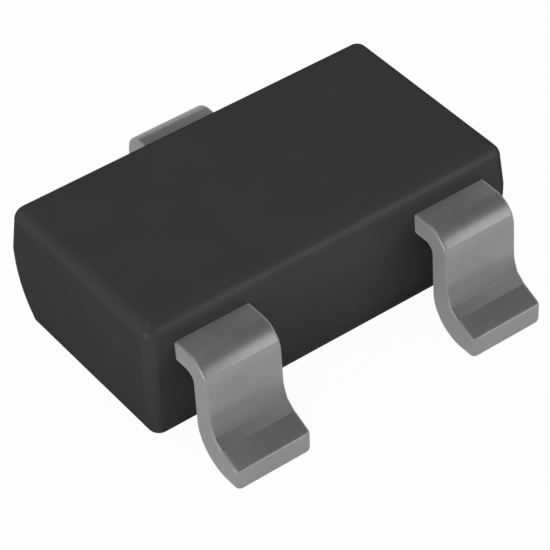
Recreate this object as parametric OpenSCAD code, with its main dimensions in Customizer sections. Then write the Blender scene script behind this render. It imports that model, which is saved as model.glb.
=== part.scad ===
// Three-lead surface-mount zener diode array: two zener diodes on one silicon chip, with one common terminal.
// The origin is on the seating plane, under the middle of the body. X runs along the body and Y across it,
// with the two front leads on the -Y side and the common lead on the +Y side.

/* [Moulded body] */
// Length of the body at the parting line
body_length = 2.91; // [2.70:0.01:3.10]
// Width of the body at the parting line
body_width = 1.58; // [1.40:0.01:1.70]
// Height of the body from its underside to its top
body_height = 0.975; // [0.945:0.005:1.2]
// Gap between the seating plane and the underside of the body
standoff = 0.03; // [0.01:0.01:0.10]
// Height of the parting line above the underside of the body
parting_height = 0.64; // [0.55:0.005:0.70]
// Inward lean of the walls above the parting line, in degrees
upper_draft = 5; // [3:0.5:12]
// Radius of the curve that the walls follow below the parting line
lower_wall_radius = 3; // [2.4:0.1:8]
// Radius of the four upright corners
corner_radius = 0.085; // [0.05:0.005:0.12]
// Radius of the rounded edge round the top
top_edge_radius = 0.11; // [0.04:0.005:0.12]
// Radius of the rounded edge round the underside
bottom_edge_radius = 0.05; // [0.04:0.005:0.10]

/* [Leads] */
// Width of each lead
lead_width = 0.58; // [0.40:0.01:0.62]
// Thickness of the lead frame
lead_thickness = 0.155; // [0.10:0.005:0.18]
// Distance between the middles of the two front leads
lead_pitch = 1.90; // [1.80:0.01:1.98]
// Distance from the wall to the corner under the shoulder, where the leg turns down
shoulder_reach = 0.16; // [0.12:0.005:0.18]
// Distance from the wall to the tip of the foot
foot_reach = 0.595; // [0.58:0.005:0.65]
// Slope of the leg, in degrees from level
leg_angle = 87.5; // [82:0.5:89]
// Slope of the foot's upper face down to its tip, in degrees from level
foot_slope = 23; // [15:1:30]
// Radius of the upper bend, on the outside
upper_outer_radius = 0.13; // [0.10:0.01:0.16]
// Radius of the upper bend, on the inside
upper_inner_radius = 0.06; // [0.03:0.005:0.10]
// Radius of the lower bend, on the upper face
lower_inner_radius = 0.20; // [0.05:0.005:0.22]
// Radius of the lower bend, on the underside
lower_outer_radius = 0.30; // [0.20:0.01:0.34]
// Bevel along the cut edges of each lead
edge_bevel = 0.015; // [0.005:0.005:0.03]
// Bevel of the two upright corners of each toe
toe_bevel = 0.02; // [0.01:0.005:0.04]

/* [Inside the body] */
// Length of each lead's narrow neck, from the wall to its wide inner end
neck_length = 0.12; // [0.08:0.01:0.16]
// Length of a front lead's bonding post, measured away from the wall
post_length = 0.30; // [0.20:0.01:0.32]
// Width of a front lead's bonding post
post_width = 0.74; // [0.64:0.01:0.76]
// How far the die pad lies below the level of the leads
pad_downset = 0.24; // [0.20:0.01:0.28]
// Slope of the die pad's tie bar, in degrees from level
tie_bar_angle = 60; // [45:1:75]
// Inside radius of the tie bar's two bends
tie_bend_radius = 0.03; // [0.02:0.005:0.08]
// Size of the die pad along the body
pad_length = 1.20; // [1.00:0.01:1.60]
// Size of the die pad across the body
pad_width = 0.58; // [0.50:0.01:0.60]
// Size of the silicon chip along the body
chip_length = 0.62; // [0.50:0.01:0.90]
// Size of the silicon chip across the body
chip_width = 0.40; // [0.30:0.01:0.46]
// Thickness of the silicon chip
chip_thickness = 0.14; // [0.10:0.01:0.16]
// Thickness of the conductive layer under the chip
attach_thickness = 0.02; // [0.01:0.005:0.03]
// Width of the fillet of that layer that shows round the chip
attach_margin = 0.02; // [0.01:0.005:0.04]

/* [Bond wires] */
// Diameter of each bond wire
wire_diameter = 0.038; // [0.03:0.001:0.05]
// Distance between the two contacts on the chip
contact_pitch = 0.34; // [0.24:0.01:0.40]
// Diameter of the flattened ball at the chip end of each wire
ball_diameter = 0.09; // [0.07:0.005:0.12]
// Height of that ball
ball_height = 0.02; // [0.015:0.005:0.03]
// Height of each wire's level run above the upper face of the leads
loop_height = 0.04; // [0.035:0.005:0.06]
// Radius of the bends in each wire
wire_bend_radius = 0.05; // [0.04:0.005:0.06]
// Slope at which each wire comes down to its post, in degrees from level
landing_angle = 25; // [20:1:35]
// Distance from a post's inner end to the flattened end of its wire
stitch_setback = 0.14; // [0.10:0.01:0.18]
// Distance of that flattened end from the post's middle, towards the chip
stitch_offset = 0.15; // [0.05:0.01:0.20]
// Length of the flattened end
stitch_length = 0.09; // [0.07:0.005:0.12]
// Width of the flattened end
stitch_width = 0.07; // [0.06:0.005:0.09]
// Height of the flattened end
stitch_height = 0.015; // [0.01:0.005:0.02]

/* [Hidden] */
$fn = 48;

corner_steps = 6;
edge_steps = 5;
wall_steps = 8;
bend_steps = 12;
smallest_corner = 0.004;
joint_overlap = 0.0002;

parting_z = standoff + parting_height;
body_top_z = standoff + body_height;
lead_top_z = parting_z + lead_thickness;

// Distances from the middle plane to places along a lead.
shoulder_corner = body_width / 2 + shoulder_reach;
foot_tip = body_width / 2 + foot_reach;
post_outer_end = body_width / 2 - neck_length;
post_inner_end = post_outer_end - post_length;

// The tie bar steps down from the common lead to the die pad.
pad_outer_end = post_outer_end - step_advance(tie_bend_radius, tie_bend_radius, tie_bar_angle, pad_downset);
pad_top_z = lead_top_z - pad_downset;
chip_y = pad_outer_end - pad_width / 2;
chip_base_z = pad_top_z + attach_thickness;
chip_top_z = chip_base_z + chip_thickness;

// Outline of the body, level by level: each entry is [height, inset from the parting line, corner radius].
function lower_inset(z) =
    lower_wall_radius - sqrt(pow(lower_wall_radius, 2) - pow(parting_z - z, 2));
bottom_edge_z = standoff + bottom_edge_radius;
top_edge_z = body_top_z - top_edge_radius;
function upper_inset(z) = (z - parting_z) * tan(upper_draft);
function edge_inset(radius, angle) = radius * (1 - cos(angle));
function corner_at(inset) = max(corner_radius - inset, smallest_corner);

bottom_levels = [
    for (i = [edge_steps : -1 : 1])
        let (angle = 90 * i / edge_steps, inset = edge_inset(bottom_edge_radius, angle))
            [bottom_edge_z - bottom_edge_radius * sin(angle), lower_inset(bottom_edge_z) + inset, corner_at(inset)]
];
wall_levels = [
    for (i = [0 : wall_steps])
        let (z = bottom_edge_z + (parting_z - bottom_edge_z) * i / wall_steps)
            [z, lower_inset(z), corner_radius]
];
top_levels = [
    for (i = [0 : edge_steps])
        let (angle = 90 * i / edge_steps, inset = edge_inset(top_edge_radius, angle))
            [top_edge_z + top_edge_radius * sin(angle), upper_inset(top_edge_z) + inset, corner_at(inset)]
];
body_levels = concat(bottom_levels, wall_levels, top_levels);

function level_ring(level) =
    let (x = body_length / 2 - level[1] - level[2], y = body_width / 2 - level[1] - level[2])
        [
            for (corner = [[1, 1, 0], [-1, 1, 90], [-1, -1, 180], [1, -1, 270]])
                for (i = [0 : corner_steps])
                    let (angle = corner[2] + 90 * i / corner_steps)
                        [corner[0] * x + level[2] * cos(angle), corner[1] * y + level[2] * sin(angle), level[0]]
        ];

// Closed skin over a stack of rings that all have the same number of points.
module skin(rings) {
    ring_points = len(rings[0]);
    last = len(rings) - 1;
    polyhedron(
        points = [for (ring = rings) each ring],
        faces = concat(
            [[for (i = [0 : ring_points - 1]) i]],
            [[for (i = [ring_points - 1 : -1 : 0]) last * ring_points + i]],
            [
                for (level = [0 : last - 1])
                    for (i = [0 : ring_points - 1])
                        let (low = level * ring_points, high = low + ring_points, next = (i + 1) % ring_points)
                            [low + i, high + i, high + next, low + next]
            ]
        ),
        convexity = 2
    );
}

// Section of a lead with bevelled edges: X is its thickness, from zero up, and Y its width.
module lead_section() {
    polygon([
        [0, edge_bevel - lead_width / 2], [edge_bevel, -lead_width / 2],
        [lead_thickness - edge_bevel, -lead_width / 2], [lead_thickness, edge_bevel - lead_width / 2],
        [lead_thickness, lead_width / 2 - edge_bevel], [lead_thickness - edge_bevel, lead_width / 2],
        [edge_bevel, lead_width / 2], [0, lead_width / 2 - edge_bevel]
    ]);
}

// Straight piece of lead that runs along +X, on top of the XY plane. Its ends run a hair into its neighbours.
module straight_lead(length) {
    translate([-joint_overlap, 0, 0])
        rotate([0, 90, 0])
            mirror([1, 0, 0])
                linear_extrude(height = length + 2 * joint_overlap)
                    lead_section();
}

// Bend that turns a lead running along +X downwards. It starts at the origin, and its outside is the upper face.
module downward_bend(inside_radius, angle) {
    translate([0, 0, -inside_radius])
        rotate([90, 0, 0])
            rotate([0, 0, 90 - angle])
                rotate_extrude(angle = angle)
                    translate([inside_radius, 0])
                        lead_section();
}

// Bend that turns a falling lead back to level. It ends at the origin, and its inside is the upper face.
module level_bend(inside_radius, angle) {
    translate([0, 0, inside_radius + lead_thickness])
        rotate([90, 0, 0])
            rotate([0, 0, -90 - angle])
                rotate_extrude(angle = angle)
                    translate([inside_radius, 0])
                        mirror([1, 0])
                            translate([-lead_thickness, 0])
                                lead_section();
}

// A step takes the lead down by a drop, through two bends with a straight slope between them.
function step_slope_length(upper, lower, angle, drop) =
    (drop - (upper + lower + lead_thickness) * (1 - cos(angle))) / sin(angle);
function step_advance(upper, lower, angle, drop) =
    (upper + lower + lead_thickness) * sin(angle) + step_slope_length(upper, lower, angle, drop) * cos(angle);

// Step that starts level at the origin, on top of the XY plane, and ends level below it. upper and lower are the
// inside radii of its bends.
module step(upper, lower, angle, drop) {
    downward_bend(upper, angle);
    translate([upper * sin(angle), 0, -upper * (1 - cos(angle))])
        rotate([0, angle, 0])
            straight_lead(step_slope_length(upper, lower, angle, drop));
    translate([step_advance(upper, lower, angle, drop), 0, -drop])
        level_bend(lower, angle);
}

// A lead's outside is drawn as two outlines, each a list of [reach, height] with one corner at either bend.
function cross_2d(a, b) = a[0] * b[1] - a[1] * b[0];
function unit(vector) = vector / norm(vector);
leg_way = [cos(leg_angle), -sin(leg_angle)];
foot_way = [cos(foot_slope), -sin(foot_slope)];
upper_corner = [shoulder_corner + lead_thickness * tan(leg_angle / 2), lead_top_z];
foot_edge = [foot_tip - toe_bevel, lead_thickness + toe_bevel * tan(foot_slope)];
leg_length = cross_2d(foot_edge - upper_corner, foot_way) / cross_2d(leg_way, foot_way);
lower_corner = upper_corner + leg_length * leg_way;
heel_corner = [shoulder_corner + parting_z / tan(leg_angle), 0];

// Points of the arc that rounds a corner between its two neighbours.
function round_corner(before, corner, after, radius) =
    let (
        way_in = unit(corner - before), way_out = unit(after - corner), turn = acos(way_in * way_out),
        inward = (cross_2d(way_in, way_out) < 0 ? 1 : -1) * [way_in[1], -way_in[0]],
        start = corner - radius * tan(turn / 2) * way_in
    )
        [
            for (i = [0 : bend_steps])
                let (angle = turn * i / bend_steps)
                    start + radius * sin(angle) * way_in + radius * (1 - cos(angle)) * inward
        ];
function rounded_outline(corners, first_radius, second_radius) =
    concat(
        [corners[0]],
        round_corner(corners[0], corners[1], corners[2], first_radius),
        round_corner(corners[1], corners[2], corners[3], second_radius),
        [corners[3]]
    );

// Section of a lead with bevelled edges, between a point of its upper outline and one of its lower outline.
function lead_ring(top, under, half_width) =
    let (
        bevel = edge_bevel * unit(top - under), high = top - bevel, low = under + bevel,
        inner = half_width - edge_bevel
    )
        [
            [low[0], half_width, low[1]], [high[0], half_width, high[1]],
            [top[0], inner, top[1]], [top[0], -inner, top[1]],
            [high[0], -half_width, high[1]], [low[0], -half_width, low[1]],
            [under[0], -inner, under[1]], [under[0], inner, under[1]]
        ];

// Outer form of a lead, running along +X from inside the wall to its toe, whose corners and edges are bevelled.
module gull_wing(start) {
    first = start - joint_overlap;
    upper = rounded_outline(
        [[first, lead_top_z], upper_corner, lower_corner, foot_edge], upper_outer_radius, lower_inner_radius
    );
    lower = rounded_outline(
        [[first, parting_z], [shoulder_corner, parting_z], heel_corner, [foot_edge[0], 0]],
        upper_inner_radius, lower_outer_radius
    );
    toe = lead_ring([foot_tip, lead_thickness - edge_bevel], [foot_tip, edge_bevel], lead_width / 2 - toe_bevel);
    skin(concat([for (i = [0 : len(upper) - 1]) lead_ring(upper[i], lower[i], lead_width / 2)], [toe]));
}

// Front lead with its bonding post. The lead points along -Y at the given X.
module front_lead(x) {
    translate([x, 0, 0])
        rotate([0, 0, -90])
            union() {
                gull_wing(post_outer_end);
                translate([post_inner_end, -post_width / 2, parting_z])
                    cube([post_length, post_width, lead_thickness]);
            }
}

// Common lead with its tie bar and die pad. The lead points along +Y.
module rear_lead() {
    rotate([0, 0, 90])
        union() {
            gull_wing(post_outer_end);
            translate([post_outer_end, 0, parting_z])
                mirror([1, 0, 0])
                    step(tie_bend_radius, tie_bend_radius, tie_bar_angle, pad_downset);
            translate([pad_outer_end - pad_width, -pad_length / 2, pad_top_z - lead_thickness])
                cube([pad_width, pad_length, lead_thickness]);
        }
}

// Bond wire from a contact on the chip to a post. side is -1 for the left wire and 1 for the right one.
module bond_wire(side) {
    wire_radius = wire_diameter / 2;
    contact = [side * contact_pitch / 2, chip_y];
    landing = [side * (lead_pitch / 2 - stitch_offset), -(post_inner_end + stitch_setback)];
    span = norm(landing - contact);
    heading = atan2(landing[1] - contact[1], landing[0] - contact[0]);
    run_z = lead_top_z + loop_height;
    rise = run_z - wire_bend_radius - chip_top_z - ball_height / 2;
    slope = (loop_height - wire_bend_radius * (1 - cos(landing_angle))) / sin(landing_angle);
    fall_advance = wire_bend_radius * sin(landing_angle) + slope * cos(landing_angle);
    translate([contact[0], contact[1], 0])
        rotate([0, 0, heading])
            union() {
                translate([0, 0, chip_top_z])
                    cylinder(d = ball_diameter, h = ball_height);
                translate([0, 0, chip_top_z + ball_height / 2])
                    cylinder(r = wire_radius, h = rise + joint_overlap);
                translate([wire_bend_radius, 0, run_z - wire_bend_radius])
                    wire_bend(90, 90);
                translate([wire_bend_radius - joint_overlap, 0, run_z])
                    rotate([0, 90, 0])
                        cylinder(r = wire_radius, h = span - fall_advance - wire_bend_radius + 2 * joint_overlap);
                translate([span - fall_advance, 0, run_z - wire_bend_radius])
                    wire_bend(90 - landing_angle, landing_angle);
                difference() {
                    translate([span, 0, lead_top_z])
                        rotate([0, landing_angle - 90, 0])
                            cylinder(r = wire_radius, h = slope + joint_overlap);
                    translate([span - stitch_length, -stitch_width, lead_top_z - stitch_width])
                        cube([2 * stitch_length, 2 * stitch_width, stitch_width]);
                }
                translate([span - stitch_length / 2, -stitch_width / 2, lead_top_z])
                    cube([stitch_length, stitch_width, stitch_height]);
            }
}

// Bend of a wire in the upright plane that it runs in, from a start angle on round by a further angle.
module wire_bend(start_angle, angle) {
    rotate([90, 0, 0])
        rotate([0, 0, start_angle])
            rotate_extrude(angle = angle)
                translate([wire_bend_radius, 0])
                    circle(d = wire_diameter);
}

module moulded_body() {
    color([0.20, 0.20, 0.20])
        difference() {
            skin([for (level = body_levels) level_ring(level)]);
            left_lead();
            right_lead();
            common_lead();
            chip_attach_layer();
            silicon_chip();
            left_bond_wire();
            right_bond_wire();
        }
}

module left_lead() {
    color([0.62, 0.62, 0.61]) front_lead(-lead_pitch / 2);
}

module right_lead() {
    color([0.62, 0.62, 0.61]) front_lead(lead_pitch / 2);
}

module common_lead() {
    color([0.62, 0.62, 0.61]) rear_lead();
}

module silicon_chip() {
    color([0.36, 0.38, 0.42])
        translate([-chip_length / 2, chip_y - chip_width / 2, chip_base_z])
            cube([chip_length, chip_width, chip_thickness]);
}

module chip_attach_layer() {
    color([0.70, 0.70, 0.72])
        translate([-chip_length / 2 - attach_margin, chip_y - chip_width / 2 - attach_margin, pad_top_z])
            cube([chip_length + 2 * attach_margin, chip_width + 2 * attach_margin, attach_thickness]);
}

module left_bond_wire() {
    color([0.85, 0.68, 0.30]) bond_wire(-1);
}

module right_bond_wire() {
    color([0.85, 0.68, 0.30]) bond_wire(1);
}

moulded_body();
left_lead();
right_lead();
common_lead();
silicon_chip();
chip_attach_layer();
left_bond_wire();
right_bond_wire();
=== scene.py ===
"""Visual model of the zener diode array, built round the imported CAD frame.

Lengths here are in millimetres, and MM turns them into metres where Blender gets them."""
import math

import bmesh
import bpy
from mathutils import Matrix, Vector


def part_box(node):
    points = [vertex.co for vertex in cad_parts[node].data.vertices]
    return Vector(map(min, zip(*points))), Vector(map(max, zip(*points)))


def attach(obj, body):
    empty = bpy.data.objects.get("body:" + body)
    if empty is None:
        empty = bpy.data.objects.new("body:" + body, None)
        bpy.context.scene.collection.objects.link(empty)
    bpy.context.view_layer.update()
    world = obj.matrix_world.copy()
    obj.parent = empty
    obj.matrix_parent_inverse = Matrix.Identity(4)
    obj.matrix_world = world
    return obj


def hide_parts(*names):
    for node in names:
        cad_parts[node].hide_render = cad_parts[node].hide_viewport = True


MM = 0.001

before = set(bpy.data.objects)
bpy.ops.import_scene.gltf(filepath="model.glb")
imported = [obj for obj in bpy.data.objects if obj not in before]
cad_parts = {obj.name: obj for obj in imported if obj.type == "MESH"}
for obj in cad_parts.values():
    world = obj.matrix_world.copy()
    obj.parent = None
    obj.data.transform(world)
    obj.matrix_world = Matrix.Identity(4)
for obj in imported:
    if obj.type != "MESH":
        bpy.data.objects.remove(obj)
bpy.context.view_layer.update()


def box_mm(node):
    """Lowest and highest corner of a CAD node, in millimetres."""
    low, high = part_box(node)
    return low / MM, high / MM


# Sizes read from the frame
body_low, body_high = box_mm("moulded_body")
BODY_LENGTH = body_high.x - body_low.x
BODY_WIDTH = body_high.y - body_low.y
BODY_BOTTOM_Z = body_low.z
BODY_TOP_Z = body_high.z
left_low, left_high = box_mm("left_lead")
right_low, right_high = box_mm("right_lead")
LEFT_X = (left_low.x + left_high.x) / 2
RIGHT_X = (right_low.x + right_high.x) / 2
POST_WIDTH = left_high.x - left_low.x
POST_INNER_END = -left_high.y
LEAD_TOP_Z = left_high.z
TIP_REACH = -left_low.y
common_low, common_high = box_mm("common_lead")
PAD_LENGTH = common_high.x - common_low.x
PAD_INNER_END = common_low.y
PAD_TOP_Z = box_mm("chip_attach_layer")[0].z

# Sizes that the CAD source also has by name
LEAD_WIDTH = 0.58
LEAD_THICKNESS = 0.155
SHOULDER_REACH = 0.16
LEG_ANGLE = math.radians(87.5)
FOOT_SLOPE = math.radians(23)
UPPER_INNER_RADIUS = 0.06
LOWER_OUTER_RADIUS = 0.30
POST_LENGTH = 0.30
TIE_BEND_RADIUS = 0.03
TIE_BAR_ANGLE = math.radians(60)
PAD_WIDTH = 0.58
UPPER_DRAFT = math.radians(5)
LOWER_WALL_RADIUS = 3.0
CORNER_RADIUS = 0.085
TOP_EDGE_RADIUS = 0.11
BOTTOM_EDGE_RADIUS = 0.05

PARTING_Z = LEAD_TOP_Z - LEAD_THICKNESS
WALL = BODY_WIDTH / 2

# Meshes

WELD_DISTANCE = 0.000001
LEAD_SMOOTH_ANGLE = math.radians(40)
BODY_SMOOTH_ANGLE = math.radians(30)


def mesh_piece(name, vertices, faces, material, smooth_angle):
    """Closed mesh from points in millimetres. Faces that meet at less than smooth_angle are shaded smooth."""
    mesh = bpy.data.meshes.new(name)
    mesh.from_pydata([Vector(v) * MM for v in vertices], [], faces)
    work = bmesh.new()
    work.from_mesh(mesh)
    bmesh.ops.remove_doubles(work, verts=work.verts, dist=WELD_DISTANCE * MM)
    bmesh.ops.recalc_face_normals(work, faces=work.faces)
    work.to_mesh(mesh)
    work.free()
    piece = bpy.data.objects.new(name, mesh)
    bpy.context.scene.collection.objects.link(piece)
    for face in mesh.polygons:
        face.use_smooth = True
    mesh.set_sharp_from_angle(angle=smooth_angle)
    mesh.materials.append(material)
    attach(piece, "root")
    return piece


def ring_faces(ring_count, points):
    """Quads between neighbouring rings of so many points, and a face over each end."""
    last = (ring_count - 1) * points
    faces = [list(range(points)), list(range(last + points - 1, last - 1, -1))]
    for ring in range(ring_count - 1):
        for i in range(points):
            a, b = ring * points + i, ring * points + (i + 1) % points
            faces.append([a, b, b + points, a + points])
    return faces


def quarter_angles(segments):
    """Signs of the corner and angle, for each point round an outline with four rounded corners."""
    for quarter, signs in enumerate([(1, 1), (-1, 1), (-1, -1), (1, -1)]):
        for i in range(segments + 1):
            yield signs, math.radians(90 * (quarter + i / segments))


# Shader nodes

NOISE_ROUGHNESS = 0.6
NOISE_ENDS = (0.3, 0.7)    # most values of a noise lie between these


def grey(level):
    """Colour with three equal parts."""
    return (level, level, level)


def new_material(name):
    """New material, with its nodes, its links and its shader."""
    material = bpy.data.materials.new(name)
    material.use_nodes = True
    nodes, links = material.node_tree.nodes, material.node_tree.links
    return material, nodes, links, nodes["Principled BSDF"]


def add(nodes, kind, **settings):
    """New shader node. A setting that names an input sets its value, and any other sets a property."""
    node = nodes.new(kind)
    for key, value in settings.items():
        if key in node.inputs:
            node.inputs[key].default_value = value
        else:
            setattr(node, key, value)
    return node


def grain(nodes, links, scale, detail=3.0):
    """Noise in the piece's own space. The scale is in grains to the millimetre."""
    coordinates = add(nodes, "ShaderNodeTexCoord")
    mapping = add(nodes, "ShaderNodeMapping", Scale=[1 / MM] * 3)
    noise = add(nodes, "ShaderNodeTexNoise", Scale=scale, Detail=detail, Roughness=NOISE_ROUGHNESS)
    links.new(coordinates.outputs["Object"], mapping.inputs["Vector"])
    links.new(mapping.outputs["Vector"], noise.inputs["Vector"])
    return noise.outputs["Fac"]


def map_range(nodes, links, source, from_ends, to_ends=(0.0, 1.0), **settings):
    """Output that runs between to_ends while the source runs between from_ends."""
    node = add(nodes, "ShaderNodeMapRange", **settings)
    names = ("From Min", "From Max", "To Min", "To Max")
    for name, value in zip(names, from_ends + to_ends):
        node.inputs[name].default_value = value
    links.new(source, node.inputs["Value"])
    return node.outputs["Result"]


def tint(nodes, links, noise, dark, light):
    """Colour between two tones that follows a noise."""
    ramp = add(nodes, "ShaderNodeValToRGB")
    for element, position, color in zip(ramp.color_ramp.elements, NOISE_ENDS, (dark, light)):
        element.position = position
        element.color = (*color, 1)
    links.new(noise, ramp.inputs["Fac"])
    return ramp.outputs["Color"]


def combined(nodes, links, operation, sources):
    """Output that joins all the sources by a math operation."""
    total = sources[0]
    for source in sources[1:]:
        node = add(nodes, "ShaderNodeMath", operation=operation)
        links.new(total, node.inputs[0])
        links.new(source, node.inputs[1])
        total = node.outputs["Value"]
    return total


def rough_grain(nodes, links, shader, scale, roughness_ends, height):
    """Fine grain of a surface, whose roughness and height follow one noise. The height is in millimetres."""
    fine = grain(nodes, links, scale, detail=2.0)
    links.new(map_range(nodes, links, fine, NOISE_ENDS, roughness_ends), shader.inputs["Roughness"])
    bump = add(nodes, "ShaderNodeBump", Strength=1.0, Distance=height * MM)
    links.new(fine, bump.inputs["Height"])
    links.new(bump.outputs["Normal"], shader.inputs["Normal"])


# Materials

def moulding_material():
    """Matte black epoxy with the fine grain that a spark-eroded mould leaves."""
    material, nodes, links, shader = new_material("moulding_compound")
    shader.inputs["Specular IOR Level"].default_value = 0.0
    shader.inputs["Metallic"].default_value = 0.2
    shader.inputs["Specular Tint"].default_value = (0, 0, 0, 1)
    cloud = grain(nodes, links, scale=2.0)
    color = tint(nodes, links, cloud, dark=grey(0.066), light=grey(0.072))
    links.new(color, shader.inputs["Base Color"])
    rough_grain(nodes, links, shader, scale=45.0, roughness_ends=(0.28, 0.34), height=0.0012)
    return material


# Painted shade: the plating's colour is darkened inside the lower bend, where shade falls in the hollow. Each
# pair goes from where none of it is darkened to where all of it is: two heights above the board, and then
# parts of the direction that the surface faces.
BEND_SHADE_TIN = 0.165
LEG_FADE = (0.48 * MM, 0.25 * MM)
TOE_FADE = (0.165 * MM, 0.20 * MM)
TOP_FADE = (0.95, 0.60)
UNDERSIDE_FADE = (-0.05, 0.02)
LEFT_SIDE_FADE = (-0.70, -0.25)
RIGHT_SIDE_FADE = (0.70, 0.25)


def bend_shade_share(nodes, links):
    """Mask of the painted shade: 1 on the inside of the lower bend, fading to 0 round it."""
    own = add(nodes, "ShaderNodeTexCoord")
    place, facing = add(nodes, "ShaderNodeSeparateXYZ"), add(nodes, "ShaderNodeSeparateXYZ")
    links.new(own.outputs["Object"], place.inputs["Vector"])
    links.new(own.outputs["Normal"], facing.inputs["Vector"])
    masks = []
    for source, fade in (
        (place.outputs["Z"], LEG_FADE),
        (place.outputs["Z"], TOE_FADE),
        (facing.outputs["Z"], TOP_FADE),
        (facing.outputs["Z"], UNDERSIDE_FADE),
        (facing.outputs["X"], LEFT_SIDE_FADE),
        (facing.outputs["X"], RIGHT_SIDE_FADE),
    ):
        masks.append(map_range(nodes, links, source, fade, interpolation_type="SMOOTHSTEP"))
    return combined(nodes, links, "MULTIPLY", masks)


def tin_material():
    """Satin tin plating, with painted shade that darkens its colour inside the lower bend."""
    material, nodes, links, shader = new_material("tin_plating")
    shader.inputs["Metallic"].default_value = 0.65
    cloud = grain(nodes, links, scale=6.0)
    plain = tint(nodes, links, cloud, dark=grey(0.320), light=grey(0.345))
    # Painted shade: the base colour goes to a dark grey inside the lower bend.
    bend_shade_mix = add(nodes, "ShaderNodeMix", data_type="RGBA")
    links.new(bend_shade_share(nodes, links), bend_shade_mix.inputs["Factor"])
    links.new(plain, bend_shade_mix.inputs["A"])
    bend_shade_mix.inputs["B"].default_value = (*grey(BEND_SHADE_TIN), 1)
    links.new(bend_shade_mix.outputs["Result"], shader.inputs["Base Color"])
    rough_grain(nodes, links, shader, scale=60.0, roughness_ends=(0.36, 0.44), height=0.0005)
    return material


def inner_material(name, dark, light, cloud_scale, metallic, roughness):
    """Material of a piece inside the moulding."""
    material, nodes, links, shader = new_material(name)
    cloud = grain(nodes, links, cloud_scale)
    links.new(tint(nodes, links, cloud, dark, light), shader.inputs["Base Color"])
    shader.inputs["Metallic"].default_value = metallic
    shader.inputs["Roughness"].default_value = roughness
    return material


def silicon_material():
    """Sawn and polished silicon."""
    dark, light = (0.09, 0.10, 0.12), (0.12, 0.13, 0.15)
    return inner_material("silicon", dark, light, cloud_scale=20.0, metallic=0.6, roughness=0.18)


def attach_material():
    """Grey conductive layer under the chip."""
    dark, light = (0.50, 0.50, 0.52), (0.64, 0.64, 0.66)
    return inner_material("chip_attach", dark, light, cloud_scale=40.0, metallic=0.8, roughness=0.45)


def gold_material():
    """Gold bond wire."""
    dark, light = (0.80, 0.56, 0.18), (0.86, 0.62, 0.22)
    return inner_material("gold_wire", dark, light, cloud_scale=80.0, metallic=1.0, roughness=0.22)


# Outlines of the leads

EDGE_ROUND = 0.022         # rounding of a lead's long edges
EDGE_SEGMENTS = 4
TOE_ROUND = 0.030          # rounding of a toe's corners, seen from above
TOE_FACE_ROUND = 0.008     # rounding of the end face's own edges
TOE_SEGMENTS = 6
CREASE_ROUND = 0.008       # rounding of the creases that the forming tool leaves in a bend
CREASE_SEGMENTS = 8


def direction(angle):
    """Unit vector of [reach, height] that falls by an angle from level."""
    return Vector((math.cos(angle), -math.sin(angle)))


def crossing(start, angle, other_start, other_angle):
    """Place where two falling lines meet."""
    way, other_way = direction(angle), direction(other_angle)
    along = (other_start - start).cross(other_way) / way.cross(other_way)
    return start + along * way


def creased_bend(corner, slopes, radius):
    """Creases of a bend that is pressed as flats, each of which touches the arc of the radius. The first and
    last slope are those of the straight runs on either side, which meet at the corner."""
    turn = slopes[-1] - slopes[0]
    side = 1 if turn > 0 else -1
    touch = corner - radius * math.tan(abs(turn) / 2) * direction(slopes[0])

    def inward(slope):
        way = direction(slope)
        return side * Vector((way.y, -way.x))

    centre = touch + radius * inward(slopes[0])
    flats = [(centre - radius * inward(slope), slope) for slope in slopes]
    return [crossing(*one, *other) for one, other in zip(flats, flats[1:])]


def round_corner(before, corner, after, radius, segments):
    """Points of the arc that rounds a corner between its two neighbours."""
    way_in, way_out = (corner - before).normalized(), (after - corner).normalized()
    turn = way_in.angle(way_out)
    side = 1 if way_in.cross(way_out) < 0 else -1
    inward = side * Vector((way_in.y, -way_in.x))
    start = corner - radius * math.tan(turn / 2) * way_in
    angles = [turn * i / segments for i in range(segments + 1)]
    return [start + radius * math.sin(a) * way_in + radius * (1 - math.cos(a)) * inward for a in angles]


def rounded_outline(corners, roundings):
    """Outline through the first and last corner. Each one between has a radius and a number of segments."""
    points = [corners[0]]
    for before, corner, after, rounding in zip(corners, corners[1:], corners[2:], roundings):
        points += round_corner(before, corner, after, *rounding)
    return points + [corners[-1]]


# A lead has a top outline and an under outline, of [reach, height]. The forming tool presses two flats in
# each bend of the top outline. Slopes fall from level.
LEG_START_SLOPE = math.radians(72)
LEG_END_SLOPE = math.radians(68)
UPPER_FLAT = math.radians(50)
LOWER_FLAT = math.radians(38)
UPPER_SLOPES = [0, UPPER_FLAT, LEG_START_SLOPE, LEG_ANGLE]
LOWER_SLOPES = [LEG_ANGLE, LEG_END_SLOPE, LOWER_FLAT, FOOT_SLOPE]
FRONT_PRESS_RADIUS = 0.185
REAR_PRESS_RADIUS = 0.155
LOWER_PRESS_RADIUS = 0.225

# Corners of the two outlines outside the body
SHOULDER_CORNER = Vector((WALL + SHOULDER_REACH, PARTING_Z))
HEEL_CORNER = crossing(SHOULDER_CORNER, LEG_ANGLE, Vector((0, 0)), 0)
TOE_START = TIP_REACH - TOE_ROUND
TOE_EDGE = Vector((TOE_START, LEAD_THICKNESS + TOE_ROUND * math.tan(FOOT_SLOPE)))
UPPER_CORNER = SHOULDER_CORNER + LEAD_THICKNESS * Vector((math.tan(LEG_ANGLE / 2), 1))
LOWER_CORNER = crossing(UPPER_CORNER, LEG_ANGLE, TOE_EDGE, FOOT_SLOPE)

# Each arc of the under outline has as many points as the three creases that lie over it.
ARC_SEGMENTS = 3 * (CREASE_SEGMENTS + 1) - 1
UNDER_WING = [SHOULDER_CORNER, HEEL_CORNER, Vector((TOE_START, 0))]
UNDER_ROUNDINGS = [(UPPER_INNER_RADIUS, ARC_SEGMENTS), (LOWER_OUTER_RADIUS, ARC_SEGMENTS)]


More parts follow.
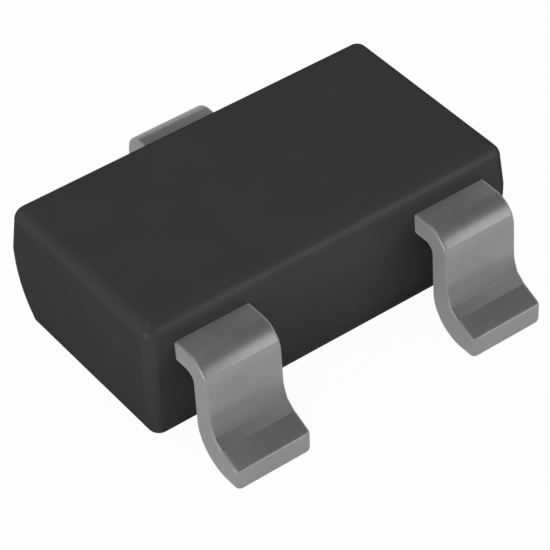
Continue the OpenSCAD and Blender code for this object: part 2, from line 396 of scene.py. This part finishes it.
def top_wing(radius):
    """Corners of the top outline outside the body, and how each is rounded, by the upper bend's radius."""
    upper_creases = creased_bend(UPPER_CORNER, UPPER_SLOPES, radius)
    lower_creases = creased_bend(LOWER_CORNER, LOWER_SLOPES, LOWER_PRESS_RADIUS)
    # Some creases are as soft as their bend, and the others are sharp.
    radii = [radius, CREASE_ROUND, radius, LOWER_PRESS_RADIUS, CREASE_ROUND, CREASE_ROUND]
    return upper_creases + lower_creases + [TOE_EDGE], [(r, CREASE_SEGMENTS) for r in radii]


# Leads

FRONT = -90    # direction that a lead points in, in degrees about Z
REAR = 90


def toe_stations():
    """Stations of the toe, whose corners are round from above and whose end face has round edges."""
    stations = []
    for i in range(1, TOE_SEGMENTS + 1):
        angle = math.radians(90 * i / TOE_SEGMENTS)
        reach = TOE_START + TOE_ROUND * math.sin(angle)
        half_width = LEAD_WIDTH / 2 - TOE_ROUND * (1 - math.cos(angle))
        into_face = max(0.0, reach - (TIP_REACH - TOE_FACE_ROUND))
        inset = TOE_FACE_ROUND - math.sqrt(max(0.0, TOE_FACE_ROUND**2 - into_face**2))
        top = LEAD_THICKNESS + (TIP_REACH - reach) * math.tan(FOOT_SLOPE)
        stations.append((Vector((reach, top)), Vector((reach, 0)), half_width, inset))
    return stations


def lead_stations(top_outline, under_outline, wide_half, wide_end):
    """Stations of a lead: a top point, an under point, half the width, and how far the section is drawn in
    all round. The inner end of the lead is wider, as far as wide_end."""
    top_start, under_start = top_outline[0], under_outline[0]
    stations = [(top_start, under_start, wide_half, 0.0)]
    for half_width in (wide_half, LEAD_WIDTH / 2):
        stations.append((Vector((wide_end, top_start.y)), Vector((wide_end, under_start.y)), half_width, 0.0))
    for top, under in zip(top_outline[1:], under_outline[1:]):
        stations.append((top, under, LEAD_WIDTH / 2, 0.0))
    return stations + toe_stations()


def front_stations():
    """A front lead runs straight in from the wall to its bonding post."""
    wing, roundings = top_wing(FRONT_PRESS_RADIUS)
    top = rounded_outline([Vector((POST_INNER_END, LEAD_TOP_Z))] + wing, roundings)
    under = rounded_outline([Vector((POST_INNER_END, PARTING_Z))] + UNDER_WING, UNDER_ROUNDINGS)
    return lead_stations(top, under, POST_WIDTH / 2, POST_INNER_END + POST_LENGTH)


def common_stations():
    """The common lead rises from the die pad to the neck by a sloping tie bar with a bend at either end."""
    climb = LEAD_TOP_Z - PAD_TOP_Z
    pad_end = PAD_INNER_END + PAD_WIDTH
    outer = TIE_BEND_RADIUS + LEAD_THICKNESS
    bends = TIE_BEND_RADIUS + outer
    slope_length = (climb - bends * (1 - math.cos(TIE_BAR_ANGLE))) / math.sin(TIE_BAR_ANGLE)
    advance = bends * math.sin(TIE_BAR_ANGLE) + slope_length * math.cos(TIE_BAR_ANGLE)
    neck_start = pad_end + advance
    outlines = []
    for start_z, low_radius, high_radius, wing, roundings in (
        (PAD_TOP_Z, TIE_BEND_RADIUS, outer, *top_wing(REAR_PRESS_RADIUS)),
        (PAD_TOP_Z - LEAD_THICKNESS, outer, TIE_BEND_RADIUS, UNDER_WING, UNDER_ROUNDINGS),
    ):
        low_corner = Vector((pad_end + low_radius * math.tan(TIE_BAR_ANGLE / 2), start_z))
        high_corner = Vector((neck_start - high_radius * math.tan(TIE_BAR_ANGLE / 2), start_z + climb))
        corners = [Vector((PAD_INNER_END, start_z)), low_corner, high_corner] + wing
        tie_roundings = [(low_radius, CREASE_SEGMENTS), (high_radius, CREASE_SEGMENTS)]
        outlines.append(rounded_outline(corners, tie_roundings + roundings))
    return lead_stations(*outlines, PAD_LENGTH / 2, pad_end)


def rounded_section(half_width, half_thickness, radius):
    """Points of a lead's section, going round it, with rounded corners."""
    points = []
    for (sx, sz), angle in quarter_angles(EDGE_SEGMENTS):
        across = sx * (half_width - radius) + radius * math.cos(angle)
        up = sz * (half_thickness - radius) + radius * math.sin(angle)
        points.append((across, up))
    return points


def lead_piece(name, node, stations, heading, offset_x, material):
    """Skins the rounded sections and turns the lead to its heading."""
    rings = []
    for top, under, half_width, inset in stations:
        middle, up_way = (top + under) / 2, (top - under).normalized()
        half = (top - under).length / 2 - inset
        ring = []
        for across, up in rounded_section(half_width - inset, half, EDGE_ROUND):
            point = middle + up * up_way
            ring.append(Vector((point.x, -across, point.y)))
        rings.append(ring)
    place = Matrix.Translation((offset_x, 0, 0)) @ Matrix.Rotation(math.radians(heading), 4, "Z")
    vertices = [place @ v for ring in rings for v in ring]
    faces = ring_faces(len(rings), len(rings[0]))
    piece = mesh_piece(name, vertices, faces, material, LEAD_SMOOTH_ANGLE)
    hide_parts(node)


# Body

CORNER_SEGMENTS = 12
EDGE_STEPS = 12
LOWER_WALL_STEPS = 24
UPPER_WALL_STEPS = 4
SMALLEST_CORNER = 0.004


def lower_inset(z):
    """Inset of the curved wall below the parting line."""
    return LOWER_WALL_RADIUS - math.sqrt(LOWER_WALL_RADIUS**2 - (PARTING_Z - z) ** 2)


def upper_inset(z):
    """Inset of the drafted wall above the parting line."""
    return (z - PARTING_Z) * math.tan(UPPER_DRAFT)


def body_levels():
    """Height, inset and corner radius of each ring of the moulding, from the underside up."""
    levels = []
    bottom_edge_z = BODY_BOTTOM_Z + BOTTOM_EDGE_RADIUS
    top_edge_z = BODY_TOP_Z - TOP_EDGE_RADIUS
    for i in range(EDGE_STEPS, 0, -1):
        angle = math.radians(90 * i / EDGE_STEPS)
        z = bottom_edge_z - BOTTOM_EDGE_RADIUS * math.sin(angle)
        inset = BOTTOM_EDGE_RADIUS * (1 - math.cos(angle))
        corner = max(CORNER_RADIUS - inset, SMALLEST_CORNER)
        levels.append((z, lower_inset(bottom_edge_z) + inset, corner))
    for i in range(LOWER_WALL_STEPS + 1):
        z = bottom_edge_z + (PARTING_Z - bottom_edge_z) * i / LOWER_WALL_STEPS
        levels.append((z, lower_inset(z), CORNER_RADIUS))
    for i in range(1, UPPER_WALL_STEPS):
        z = PARTING_Z + (top_edge_z - PARTING_Z) * i / UPPER_WALL_STEPS
        levels.append((z, upper_inset(z), CORNER_RADIUS))
    for i in range(EDGE_STEPS + 1):
        angle = math.radians(90 * i / EDGE_STEPS)
        z = top_edge_z + TOP_EDGE_RADIUS * math.sin(angle)
        inset = TOP_EDGE_RADIUS * (1 - math.cos(angle))
        corner = max(CORNER_RADIUS * (1 - inset / TOP_EDGE_RADIUS), SMALLEST_CORNER)
        levels.append((z, upper_inset(top_edge_z) + inset, corner))
    return levels


def level_ring(z, inset, radius):
    """Points of a level rectangle with rounded corners."""
    x, y = BODY_LENGTH / 2 - inset - radius, BODY_WIDTH / 2 - inset - radius
    ring = []
    for (sx, sy), angle in quarter_angles(CORNER_SEGMENTS):
        ring.append((sx * x + radius * math.cos(angle), sy * y + radius * math.sin(angle), z))
    return ring


def body_piece(material):
    """Skins the stack of rounded rectangles."""
    rings = [level_ring(*level) for level in body_levels()]
    vertices = [point for ring in rings for point in ring]
    faces = ring_faces(len(rings), len(rings[0]))
    piece = mesh_piece("moulded_body_shell", vertices, faces, material, BODY_SMOOTH_ANGLE)
    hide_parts("moulded_body")
    # The photograph's leads show the pale ground on their sides and not the dark body beside them.
    piece.visible_glossy = False


# The pieces

tin = tin_material()
moulding = moulding_material()
body_piece(moulding)
lead_piece("left_lead_strip", "left_lead", front_stations(), FRONT, LEFT_X, tin)
lead_piece("right_lead_strip", "right_lead", front_stations(), FRONT, RIGHT_X, tin)
lead_piece("common_lead_strip", "common_lead", common_stations(), REAR, 0.0, tin)

for inner_nodes, inner_look in (
    (["silicon_chip"], silicon_material()),
    (["chip_attach_layer"], attach_material()),
    (["left_bond_wire", "right_bond_wire"], gold_material()),
):
    for inner_node in inner_nodes:
        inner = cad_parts[inner_node]
        inner.data.materials.clear()
        inner.data.materials.append(inner_look)

# Stage and light

FLOOR_SIZE = 400.0
FLOOR_GREY = 0.86
FLOOR_ROUGHNESS = 0.9
FLOOR_SPECULAR = 0.1
WHITE = 1.0

# Share of the floor shown as plain white to the camera, and to what the part reflects. The rest keeps the
# part's shadow.
CAMERA_SHARE = 0.97
MIRROR_SHARE = 0.6

# The sky has a strength low down and one overhead. It fades between two sines of the elevation.
SKY_ENDS = (0.60, 0.32)
SKY_FADE = (0.0, 0.6)
SHOWN_SKY_ENDS = (WHITE, 0.06)
SHOWN_SKY_FADE = (0.27, 0.58)


def shown_rays(nodes, links, camera_share=1.0, mirror_share=1.0):
    """How much of the plain background a ray shows: the share for the camera, the one for a reflection or a
    ray through glass, and 0 for the rays that light the part."""
    path = add(nodes, "ShaderNodeLightPath")
    parts = []
    for name, share in (
        ("Is Camera Ray", camera_share),
        ("Is Glossy Ray", mirror_share),
        ("Is Transmission Ray", mirror_share),
    ):
        part = add(nodes, "ShaderNodeMath", operation="MULTIPLY")
        part.inputs[1].default_value = share
        links.new(path.outputs[name], part.inputs[0])
        parts.append(part.outputs["Value"])
    return combined(nodes, links, "MAXIMUM", parts)


def floor():
    """Pale floor that looks nearly white and takes the part's shadow."""
    bpy.ops.mesh.primitive_plane_add(size=FLOOR_SIZE * MM)
    plane = bpy.context.object
    plane.name = "floor"
    material, nodes, links, shader = new_material("pale_floor")
    shader.inputs["Base Color"].default_value = (*grey(FLOOR_GREY), 1)
    shader.inputs["Roughness"].default_value = FLOOR_ROUGHNESS
    shader.inputs["Specular IOR Level"].default_value = FLOOR_SPECULAR
    glow = add(nodes, "ShaderNodeEmission", Color=(1, 1, 1, 1), Strength=WHITE)
    mix = add(nodes, "ShaderNodeMixShader")
    links.new(shown_rays(nodes, links, CAMERA_SHARE, MIRROR_SHARE), mix.inputs["Fac"])
    links.new(shader.outputs["BSDF"], mix.inputs[1])
    links.new(glow.outputs["Emission"], mix.inputs[2])
    links.new(mix.outputs["Shader"], nodes["Material Output"].inputs["Surface"])
    plane.data.materials.append(material)


def sky():
    """Soft studio surroundings, darker overhead than at the horizon. The camera sees them white low down."""
    world = bpy.data.worlds.new("studio")
    bpy.context.scene.world = world
    world.use_nodes = True
    nodes, links = world.node_tree.nodes, world.node_tree.links
    background = nodes["Background"]
    coordinates = add(nodes, "ShaderNodeTexCoord")
    split = add(nodes, "ShaderNodeSeparateXYZ")
    links.new(coordinates.outputs["Generated"], split.inputs["Vector"])
    mix = add(nodes, "ShaderNodeMix", data_type="FLOAT")
    links.new(shown_rays(nodes, links), mix.inputs["Factor"])
    for socket, fade, ends in (("A", SKY_FADE, SKY_ENDS), ("B", SHOWN_SKY_FADE, SHOWN_SKY_ENDS)):
        strength = map_range(nodes, links, split.outputs["Z"], fade, ends, interpolation_type="SMOOTHSTEP")
        links.new(strength, mix.inputs[socket])
    links.new(mix.outputs["Result"], background.inputs["Strength"])
    background.inputs["Color"].default_value = (1, 1, 1, 1)


def way_to(azimuth, elevation):
    """Unit vector from the part towards a place round it. Azimuth 0 is the front and grows to the right."""
    return Vector((
        math.sin(azimuth) * math.cos(elevation),
        -math.cos(azimuth) * math.cos(elevation),
        math.sin(elevation),
    ))


def softbox(name, azimuth, elevation, distance, size, level):
    """Square area lamp aimed at the part, at angles in degrees. level is the share of plain white that it
    gives a white surface facing it."""
    way = way_to(math.radians(azimuth), math.radians(elevation))
    lamp = bpy.data.lights.new(name, "AREA")
    lamp.shape = "SQUARE"
    lamp.size = size * MM
    distance_m = distance * MM
    # A panel of power P gives P / (pi d^2) at a distance d, and a white surface is plain white at pi.
    lamp.energy = level * math.pi**2 * distance_m**2
    holder = bpy.data.objects.new(name, lamp)
    holder.location = way * distance_m
    holder.rotation_mode = "QUATERNION"
    holder.rotation_quaternion = way.to_track_quat("Z", "Y")
    bpy.context.scene.collection.objects.link(holder)


floor()
sky()
softbox("key_left", azimuth=-110, elevation=66, distance=28, size=28, level=0.24)
softbox("front_right", azimuth=35, elevation=24, distance=42, size=24, level=0.16)
softbox("low_left", azimuth=-70, elevation=10, distance=42, size=24, level=0.24)

# Camera

VIEW_AZIMUTH = math.radians(-35.6612)
VIEW_ELEVATION = math.radians(42.0583)
VIEW_ROLL = math.radians(-2.1253)
VIEW_DISTANCE = 18.3119
FOCAL_PIXELS = 2783.1321
IMAGE_SIZE = 550
AIM = Vector((0, 0, 0.5))
AIM_PIXEL = (261.3752, 233.5033)    # where the picture shows the aim
SENSOR = 36.0
CLIP_START = 0.1
CLIP_END = 4000.0


def camera():
    """Camera that was matched to the photograph. It has no shift, so its place takes up the aim's offset."""
    back = way_to(VIEW_AZIMUTH, VIEW_ELEVATION)
    right = Vector((math.cos(VIEW_AZIMUTH), math.sin(VIEW_AZIMUTH), 0))
    up = back.cross(right)
    right, up = (
        right * math.cos(VIEW_ROLL) + up * math.sin(VIEW_ROLL),
        up * math.cos(VIEW_ROLL) - right * math.sin(VIEW_ROLL),
    )
    aside = (AIM_PIXEL[0] - IMAGE_SIZE / 2) / FOCAL_PIXELS * VIEW_DISTANCE
    above = (IMAGE_SIZE / 2 - AIM_PIXEL[1]) / FOCAL_PIXELS * VIEW_DISTANCE
    place = AIM + back * VIEW_DISTANCE - right * aside - up * above
    data = bpy.data.cameras.new("camera")
    data.sensor_width = SENSOR
    data.lens = FOCAL_PIXELS / IMAGE_SIZE * SENSOR
    data.clip_start = CLIP_START * MM
    data.clip_end = CLIP_END * MM
    holder = bpy.data.objects.new("camera", data)
    turn = Matrix((right, up, back)).transposed()
    holder.matrix_world = Matrix.Translation(place * MM) @ turn.to_4x4()
    bpy.context.scene.collection.objects.link(holder)
    bpy.context.scene.camera = holder


camera()
bpy.context.scene.view_settings.view_transform = "Standard"
